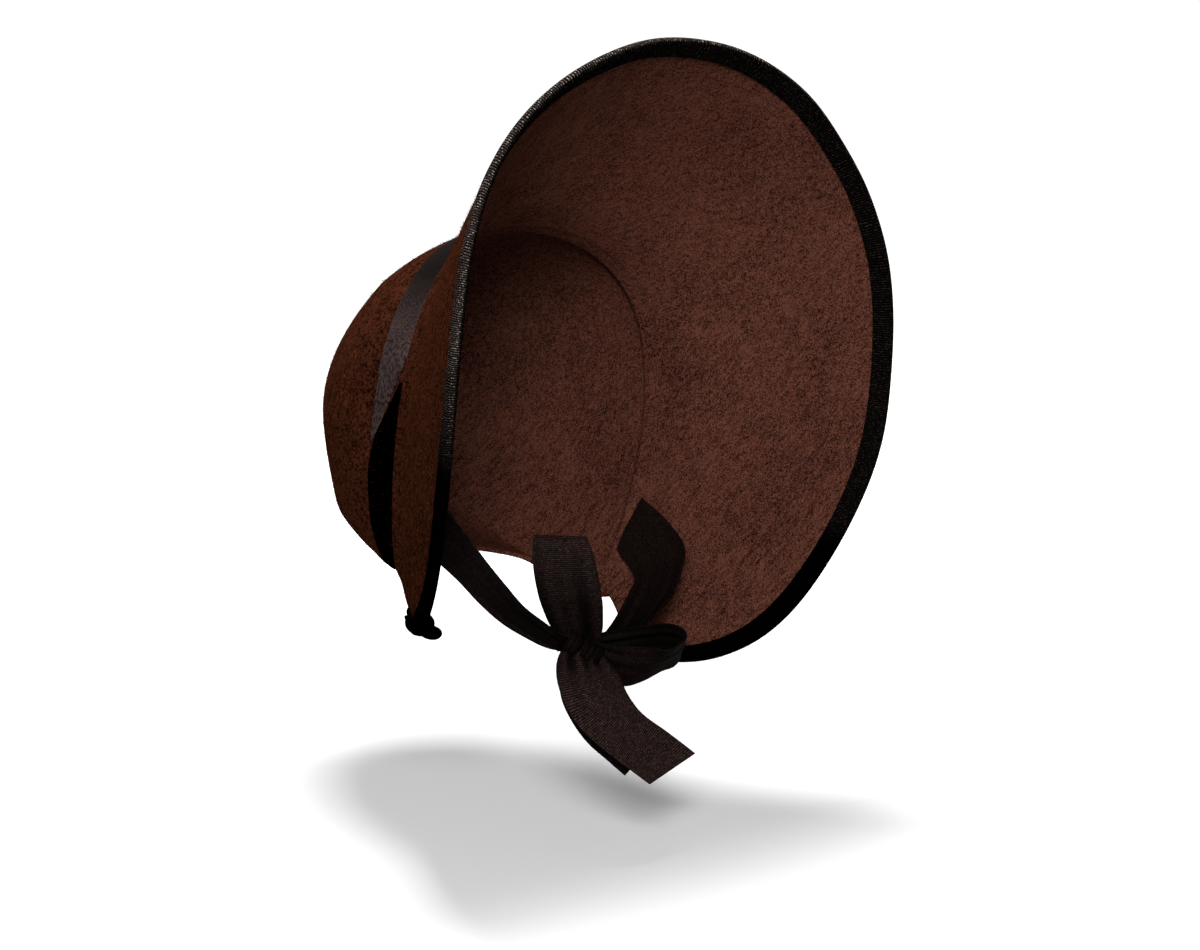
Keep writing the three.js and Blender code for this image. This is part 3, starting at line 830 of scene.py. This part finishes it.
def arch_strip(node, name, material, pulled=False):
    strip = copy_of(node, name)
    strip.data.materials.append(material)
    crease_sharp_edges(strip, STRIP_SHARP, STRIP_CREASE)
    subdivide(strip, 2)
    weave_round_arch(strip)
    new_painted_shade(strip.data)
    if pulled:
        pull_forward(strip)
    make_uneven(strip)
    return strip


# %% [markdown]
# ## Hatband and side tabs
# The satin band lies on the crown along the seam, and its two ends go under tabs, one at each
# side. The tabs are painted near black as the deep shade on the ribbon's twist there. All three
# follow the crown's rim, so they are pulled forward together.

# %% Hatband and side tabs
hatband = arch_strip("hatband", "satin_hatband", satin_cloth, pulled=True)
run_under_tabs(hatband)
finish_piece(hatband, "hatband")
for side in ("right", "left"):
    tab = arch_strip(f"side_tab_{side}", f"tab_{side}", shade_painted_tab_cloth, pulled=True)
    finish_piece(tab, f"side_tab_{side}")

# %% [markdown]
# ## The bound edge
# A ribbed strip is folded over the brim's edge, and at each corner its end is folded in on
# itself into a thick crumpled lump. Three small spheres, squeezed and crumpled by a noise and
# then joined to the strip, make that lump. The strip's inner side and its lower part are
# painted dark as shade, so its light threads show only on the outside and above.

# %% Painted shade on the inner side and low down
SHADE_PAINTED_BELOW = -70 * MM
SHADE_PAINTED_OVER = 70 * MM
DARKEST_PAINTED_SHADE = 0.9


def paint_shade_inward_and_low(piece):
    # Painted shade: dark where the strip faces inward, and darker further down
    gathers = piece.data.color_attributes["gather"].data
    for vertex in piece.data.vertices:
        outward = (vertex.co - Vector(ARCH_HEART)) * Vector((1, 0, 1))
        facing = vertex.normal.dot(outward.normalized())
        lowness = (SHADE_PAINTED_BELOW - vertex.co.z) / SHADE_PAINTED_OVER
        shade = max(min(1 - 2 * facing, DARKEST_PAINTED_SHADE), min(lowness, 1), 0)
        gathers[vertex.index].color = (shade, shade, shade, 1)


# %% Folded ends
# x, y, z and the half sizes of each lump, in mm, for the bonnet's left; the right mirrors it
END_LUMPS = [
    (79, -57, -222, 7.5, 9, 7),
    (82, -57, -217, 5, 7, 5.5),
    (76.5, -64, -225.5, 6.5, 6, 3.8),
]
CRUMPLE_DEPTH = 1 * MM
CRUMPLE_SIZE = 8 * MM
LUMP_WEAVE = 20 * MM
crumple = bpy.data.textures.new("crumple", "CLOUDS")
crumple.noise_scale = CRUMPLE_SIZE


def end_lump(x, y, z, *halves):
    bpy.ops.mesh.primitive_ico_sphere_add(subdivisions=4, radius=MM, location=Vector((x, y, z)) * MM)
    lump = bpy.context.object
    lump.scale = halves
    bpy.ops.object.transform_apply(location=True, rotation=False, scale=True)
    apply_modifier(
        lump, "DISPLACE", "Crumple", texture=crumple, texture_coords="LOCAL", strength=CRUMPLE_DEPTH,
    )
    bpy.ops.object.shade_smooth()
    lump.data.uv_layers.active.name = "weave"
    for corner in lump.data.uv_layers["weave"].data:
        corner.uv *= LUMP_WEAVE
    new_painted_shade(lump.data)
    lump.data.materials.append(binding_cloth)
    return lump


# %% Binding
binding = arch_strip("brim_binding", "binding_strip", binding_cloth)
paint_shade_inward_and_low(binding)
join_onto(binding, [end_lump(mirror * x, *rest) for x, *rest in END_LUMPS for mirror in (-1, 1)])
finish_piece(binding, "brim_binding")

# %% [markdown]
# ## The chin ribbon and its bow
# A ribbon is a grid whose rows follow a path. Each row of a table gives the path's point, the
# direction of the ribbon's width, its width, how far it is dished, and how deep the gathers
# are there. Rows between them are read off a smooth curve through the table, and a solidify
# modifier gives the cloth its thickness. Cloth simulation could drape it too, but a table
# puts every fold where the real bow has it.

# %% A smooth curve through a table
def smooth_row(rows, place):
    """The table's row at a place between its rows, on a Catmull-Rom curve."""
    low = min(int(place), len(rows) - 2)
    t = place - low
    before, start, end, after = (rows[min(max(low + i, 0), len(rows) - 1)] for i in (-1, 0, 1, 2))
    bend = 2 * before - 5 * start + 4 * end - after
    twist = 3 * start - before - 3 * end + after
    return 0.5 * (2 * start + (end - before) * t + bend * t ** 2 + twist * t ** 3)


def unit(vector):
    return vector / max(np.linalg.norm(vector), 1e-9)


# %% Ribbon maker
RIBBON_WIDTH = 38 * MM
RIBBON_THICKNESS = 0.8 * MM
RIBBON_ACROSS = 28
EDGE_CREASE = 0.8
EDGE_FLATNESS = 0.6
FULL_GATHER = 1.25
FOLD_SHADE = 0.7
FOLD_CONTRAST = 0.3


def lay_on_path(mesh, rows, pleats, shade, steps):
    """Moves a unit grid's vertices onto the table's path and pleats them, with weave and painted shade."""
    stations = [smooth_row(rows, share * (len(rows) - 1)) for share in np.linspace(0, 1, steps + 1)]
    points = np.array([station[:3] for station in stations]) * MM
    gone = distance_along(points)
    tangents = np.gradient(points, axis=0)
    weave = np.zeros((len(mesh.vertices), 2))
    gathers = new_painted_shade(mesh)
    for vertex in mesh.vertices:
        step = round((vertex.co.y + 0.5) * steps)
        offset = vertex.co.x
        station = stations[step]
        side = unit(station[3:6])
        normal = unit(np.cross(tangents[step], side))
        width, dish, gather = station[6] * RIBBON_WIDTH, station[7] * MM, station[8] * MM
        wave = sum(math.cos(math.tau * (count * offset + phase)) for count, phase in pleats) / len(pleats)
        edge = 1 - (2 * offset) ** 4 * EDGE_FLATNESS
        lift = dish * (1 - 4 * offset ** 2) + gather * wave * edge
        weave[vertex.index] = (gone[step], offset * RIBBON_WIDTH)
        # Painted shade: the ribbon's own shade, and more in deep gathers, most in a pleat's trough
        gathered = min(max(station[8] / FULL_GATHER, 0), 1)
        fold = shade + (1 - shade) * gathered * (FOLD_SHADE - FOLD_CONTRAST * wave)
        gathers[vertex.index].color = (fold, fold, fold, 1)
        vertex.co = Vector(points[step] + side * offset * width + normal * lift)
    write_weave(mesh, weave)


def ribbon(name, node, table, pleats, shade=0.1, steps=90):
    """pleats: pairs of how many waves across and their phase. shade: how much painted shade darkens the
    whole ribbon, for pieces in shadow.
    """
    deselect()
    bpy.ops.mesh.primitive_grid_add(
        x_subdivisions=RIBBON_ACROSS, y_subdivisions=steps, size=1, calc_uvs=False,
    )
    piece = bpy.context.object
    piece.name = name
    lay_on_path(piece.data, np.array(table, float), pleats, shade, steps)
    apply_modifier(
        piece, "SOLIDIFY", "Cloth", thickness=RIBBON_THICKNESS, offset=0,
        edge_crease_inner=EDGE_CREASE, edge_crease_outer=EDGE_CREASE, edge_crease_rim=EDGE_CREASE,
    )
    subdivide(piece, 1)
    piece.data.materials.append(bow_cloth)
    finish_piece(piece, node)


# %% [markdown]
# ## Ties
# Each side of the ribbon comes from inside the seam, stands on its edge there, turns over and
# narrows into the knot, where it is gathered. Both ties use one table, mirrored for the left,
# and other pleats, so that they don't look like copies.

# %% Ties
# x, y, z in mm, side x, y, z, width as a share, dish and gathers in mm
TIE = [
    (-85.5, -18, -154, 0.2, 0.23, -0.95, 0.86, 0, 0),
    (-83.5, -29, -158, 0.2, 0.33, -0.92, 0.9, 0.2, 0.1),
    (-83, -41, -163, 0.23, 0.5, -0.83, 0.92, 0.4, 0.3),
    (-80, -57, -172, 0.25, 0.71, -0.66, 0.97, 0.8, 0.4),
    (-72, -66, -181, 0.25, 0.82, -0.52, 0.96, 1, 0.5),
    (-63, -73, -190, 0.25, 0.87, -0.42, 0.93, 1.3, 0.7),
    (-52, -79, -200, 0.25, 0.87, -0.42, 0.87, 1.8, 1),
    (-40, -84, -209, 0.25, 0.88, -0.41, 0.77, 2, 1.4),
    (-27, -88, -215, 0.28, 0.8, -0.5, 0.6, 1.6, 1.6),
    (-16, -91, -219, 0.35, 0.7, -0.6, 0.46, 1.2, 1.6),
    (-5, -93, -221, 0.5, 0.6, -0.55, 0.36, 1, 1.3),
]
MIRRORED_TIE = [(-x, y, z, -side_x, *rest) for x, y, z, side_x, *rest in TIE]
# Each ribbon's shade is painted shade: darkest for the side loop, the knot and the ties, which lie in
# shadow
ribbon("tie_ribbon_right", "tie_right", TIE, [(2.5, 0.1), (4, 0.35)], shade=0.45)
ribbon("tie_ribbon_left", "tie_left", MIRRORED_TIE, [(2.5, 0.6), (4, 0.2)], shade=0.6)

# %% [markdown]
# ## Loops
# One loop stands up against the brim and the other lies out to the left. Each table goes out
# along the loop's front, turns at its end and comes back behind, so the ribbon's two layers
# are there as on the real bow. The tables' columns are those of the ties.

# %% Upper loop
UPPER_LOOP = [
    (0, -96, -222, 0.87, -0.46, 0.19, 0.5, 1, 1.8),
    (-5, -99.5, -214, 0.87, -0.46, 0.17, 0.66, 2, 1.6),
    (-11.5, -102, -206, 0.87, -0.46, 0.16, 0.8, 2.5, 1.4),
    (-18.5, -103.5, -195, 0.87, -0.47, 0.15, 0.9, 2, 1.1),
    (-24, -102.5, -183.5, 0.87, -0.47, 0.14, 0.89, 1.2, 0.8),
    (-26.5, -100, -173, 0.87, -0.47, 0.14, 0.86, 0.6, 0.5),
    (-27, -97, -166.5, 0.87, -0.47, 0.14, 0.79, 0.2, 0),
    (-25, -93.5, -163.5, 0.87, -0.47, 0.14, 0.74, 0, 0),
    (-21.5, -91, -166.5, 0.87, -0.47, 0.14, 0.79, -0.2, 0),
    (-17, -90, -174, 0.87, -0.47, 0.14, 0.86, -0.6, 0.1),
    (-11.5, -89.5, -185, 0.87, -0.47, 0.15, 0.89, -1.2, 0.4),
    (-5.5, -90.5, -197.5, 0.87, -0.46, 0.16, 0.84, -2, 0.9),
    (-1.5, -92, -209, 0.87, -0.46, 0.17, 0.64, -1.5, 1.4),
    (2, -93.5, -221, 0.87, -0.46, 0.19, 0.46, -1, 1.6),
]
ribbon("bow_loop_top", "bow_loop_upper", UPPER_LOOP, [(1.5, 0.2), (3, 0.9)], shade=0.3)

# %% Side loop
SIDE_LOOP = [
    (2, -97, -220, -0.35, -0.6, 0.72, 0.44, 0.6, 1.3),
    (12, -99, -219, -0.25, -0.4, 0.87, 0.5, 0.8, 1.6),
    (22, -103, -215.5, -0.3, -0.45, 0.84, 0.54, 1, 1.6),
    (33, -108, -211, -0.42, -0.6, 0.68, 0.6, 1, 1.4),
    (43, -113, -208.5, -0.48, -0.6, 0.64, 0.68, 0.5, 1.2),
    (50, -117, -209, -0.5, -0.64, 0.58, 0.72, 0, 0.9),
    (53, -119, -212, -0.52, -0.66, 0.54, 0.74, 0, 0.6),
    (50, -119, -216.5, -0.5, -0.68, 0.54, 0.76, 0, 0.5),
    (43, -118, -220.5, -0.5, -0.7, 0.5, 0.74, -0.5, 0.4),
    (34, -115.5, -224, -0.35, -0.6, 0.72, 0.74, -1.2, 0.3),
    (25, -111, -226.5, -0.2, -0.45, 0.87, 0.7, -2, 0.5),
    (14, -106, -226, -0.15, -0.4, 0.9, 0.56, -1.6, 1),
    (3, -100, -223, -0.1, -0.4, 0.91, 0.42, -0.6, 1.3),
]
ribbon("bow_loop_end", "bow_loop_side", SIDE_LOOP, [(2, 0.3), (3.5, 0.1)], shade=0.7)

# %% [markdown]
# ## Tails
# The two cut ends fall from the knot and twist, because the ribbon's broad side turns from
# the bow's front to the ground's. The width's direction, row by row, makes that twist.

# %% Front tail
FRONT_TAIL = [
    (-1.5, -99, -221, 0.87, -0.46, 0.18, 0.54, 1, 1.6),
    (-1.5, -102.5, -227, 0.87, -0.46, 0.18, 0.74, 1.8, 1.5),
    (-0.5, -106.5, -233.5, 0.88, -0.41, 0.22, 0.88, 2, 0.9),
    (1.5, -111, -241, 0.93, -0.16, 0.33, 0.97, 1.6, 0.4),
    (5.5, -116, -249, 0.85, 0.09, 0.53, 1, 1, 0.1),
    (11.5, -122, -256, 0.77, 0.27, 0.58, 1, 0.4, 0),
    (18.5, -128.5, -262, 0.72, 0.38, 0.58, 1, 0, 0),
    (28.5, -135.5, -268, 0.76, 0.33, 0.56, 1, 0, 0),
    (40, -143, -275, 0.88, 0.15, 0.46, 1, 0, 0),
]
ribbon("bow_tail_long", "bow_tail_front", FRONT_TAIL, [(2.5, 0.2), (4, 0.4)])

# %% Back tail
BACK_TAIL = [
    (3, -93, -224, 0.87, -0.46, 0.18, 0.42, 0.5, 1.2),
    (8.5, -90.5, -232.5, 0.87, -0.46, 0.18, 0.6, 1, 1),
    (14, -91.5, -243, 0.91, -0.24, 0.33, 0.82, 0.8, 0.5),
    (19.5, -95, -252, 0.85, 0.09, 0.53, 0.95, 0.4, 0.2),
    (25.5, -100, -260, 0.77, 0.27, 0.58, 1, 0, 0),
    (33, -106.5, -267, 0.72, 0.38, 0.58, 1, 0, 0),
    (43, -114, -274.5, 0.8, 0.31, 0.52, 1, 0, 0),
]
ribbon("bow_tail_short", "bow_tail_back", BACK_TAIL, [(2.5, 0.5), (4, 0.1)])

# %% [markdown]
# ## Knot
# The knot is the ribbon wrapped once round the gathered middle. Its path is an oval about a
# tilted line, so its table is worked out, one row every 30 degrees.

# %% Knot
KNOT_CENTRE = (0, -97, -221.5)
KNOT_ACROSS = (0.82, -0.43, -0.38)
KNOT_DEPTH = 9
KNOT_HEIGHT = 7.5
KNOT_STEP = 30
# Width as a share, dish and gathers in mm
KNOT_CLOTH = (0.54, 1.2, 1.5)
knot_across = unit(np.array(KNOT_ACROSS))
knot_front = unit(np.cross(knot_across, (0, 0, 1)))
knot_up = np.cross(knot_front, knot_across)
knot_rows = []
for degrees in range(0, 361, KNOT_STEP):
    angle = math.radians(degrees)
    around = KNOT_DEPTH * math.cos(angle) * knot_front + KNOT_HEIGHT * math.sin(angle) * knot_up
    knot_rows.append((*(KNOT_CENTRE + around), *knot_across, *KNOT_CLOTH))
ribbon("bow_knot_wrap", "bow_knot", knot_rows, [(3, 0.1), (5, 0.3)], shade=0.6, steps=72)
